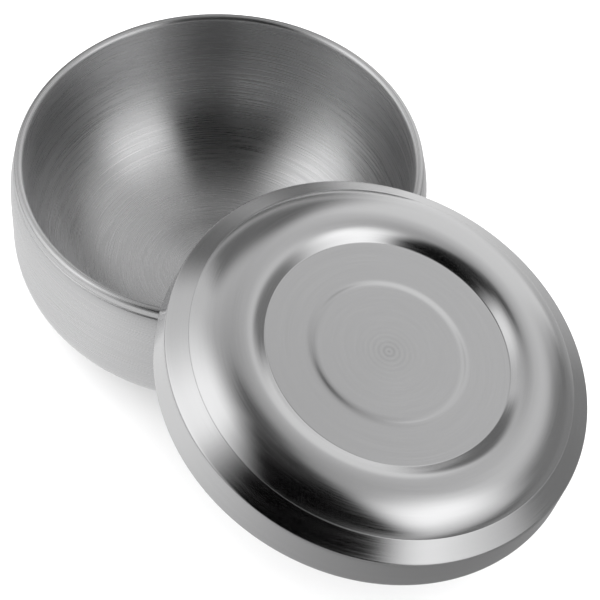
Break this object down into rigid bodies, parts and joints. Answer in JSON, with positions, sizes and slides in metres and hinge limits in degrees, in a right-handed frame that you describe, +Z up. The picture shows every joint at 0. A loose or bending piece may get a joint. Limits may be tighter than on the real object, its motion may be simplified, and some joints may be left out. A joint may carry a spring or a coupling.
{
  "type": "shaving bowl",
  "caption": "Double-walled round steel bowl for working up shaving lather, with a loose domed lid held tilted over its rim.",
  "frame": {"origin": "centre of the bowl's flat base", "axes": "+Z up out of the bowl's mouth; -Y towards the side the lid leans over; +X to the right seen from -Y"},
  "size_m": [0.1409, 0.1736, 0.0696],
  "materials": {
    "outer_steel": "satin, brushed around the bowl",
    "inner_steel": "satin, spun marks around the hollow",
    "lid_steel": "satin, spun marks around the lid's centre"
  },
  "bodies": {
    "bowl": {"outer_shell": "outer_steel", "inner_shell": "inner_steel"},
    "lid": {"lid_shell": "lid_steel"}
  },
  "joints": [
    {"name": "lid_lift", "type": "slide", "parent": "bowl", "child": "lid", "axis": [0.2618, -0.1283, 0.9566], "range_m": [0, 0.1]}
  ]
}
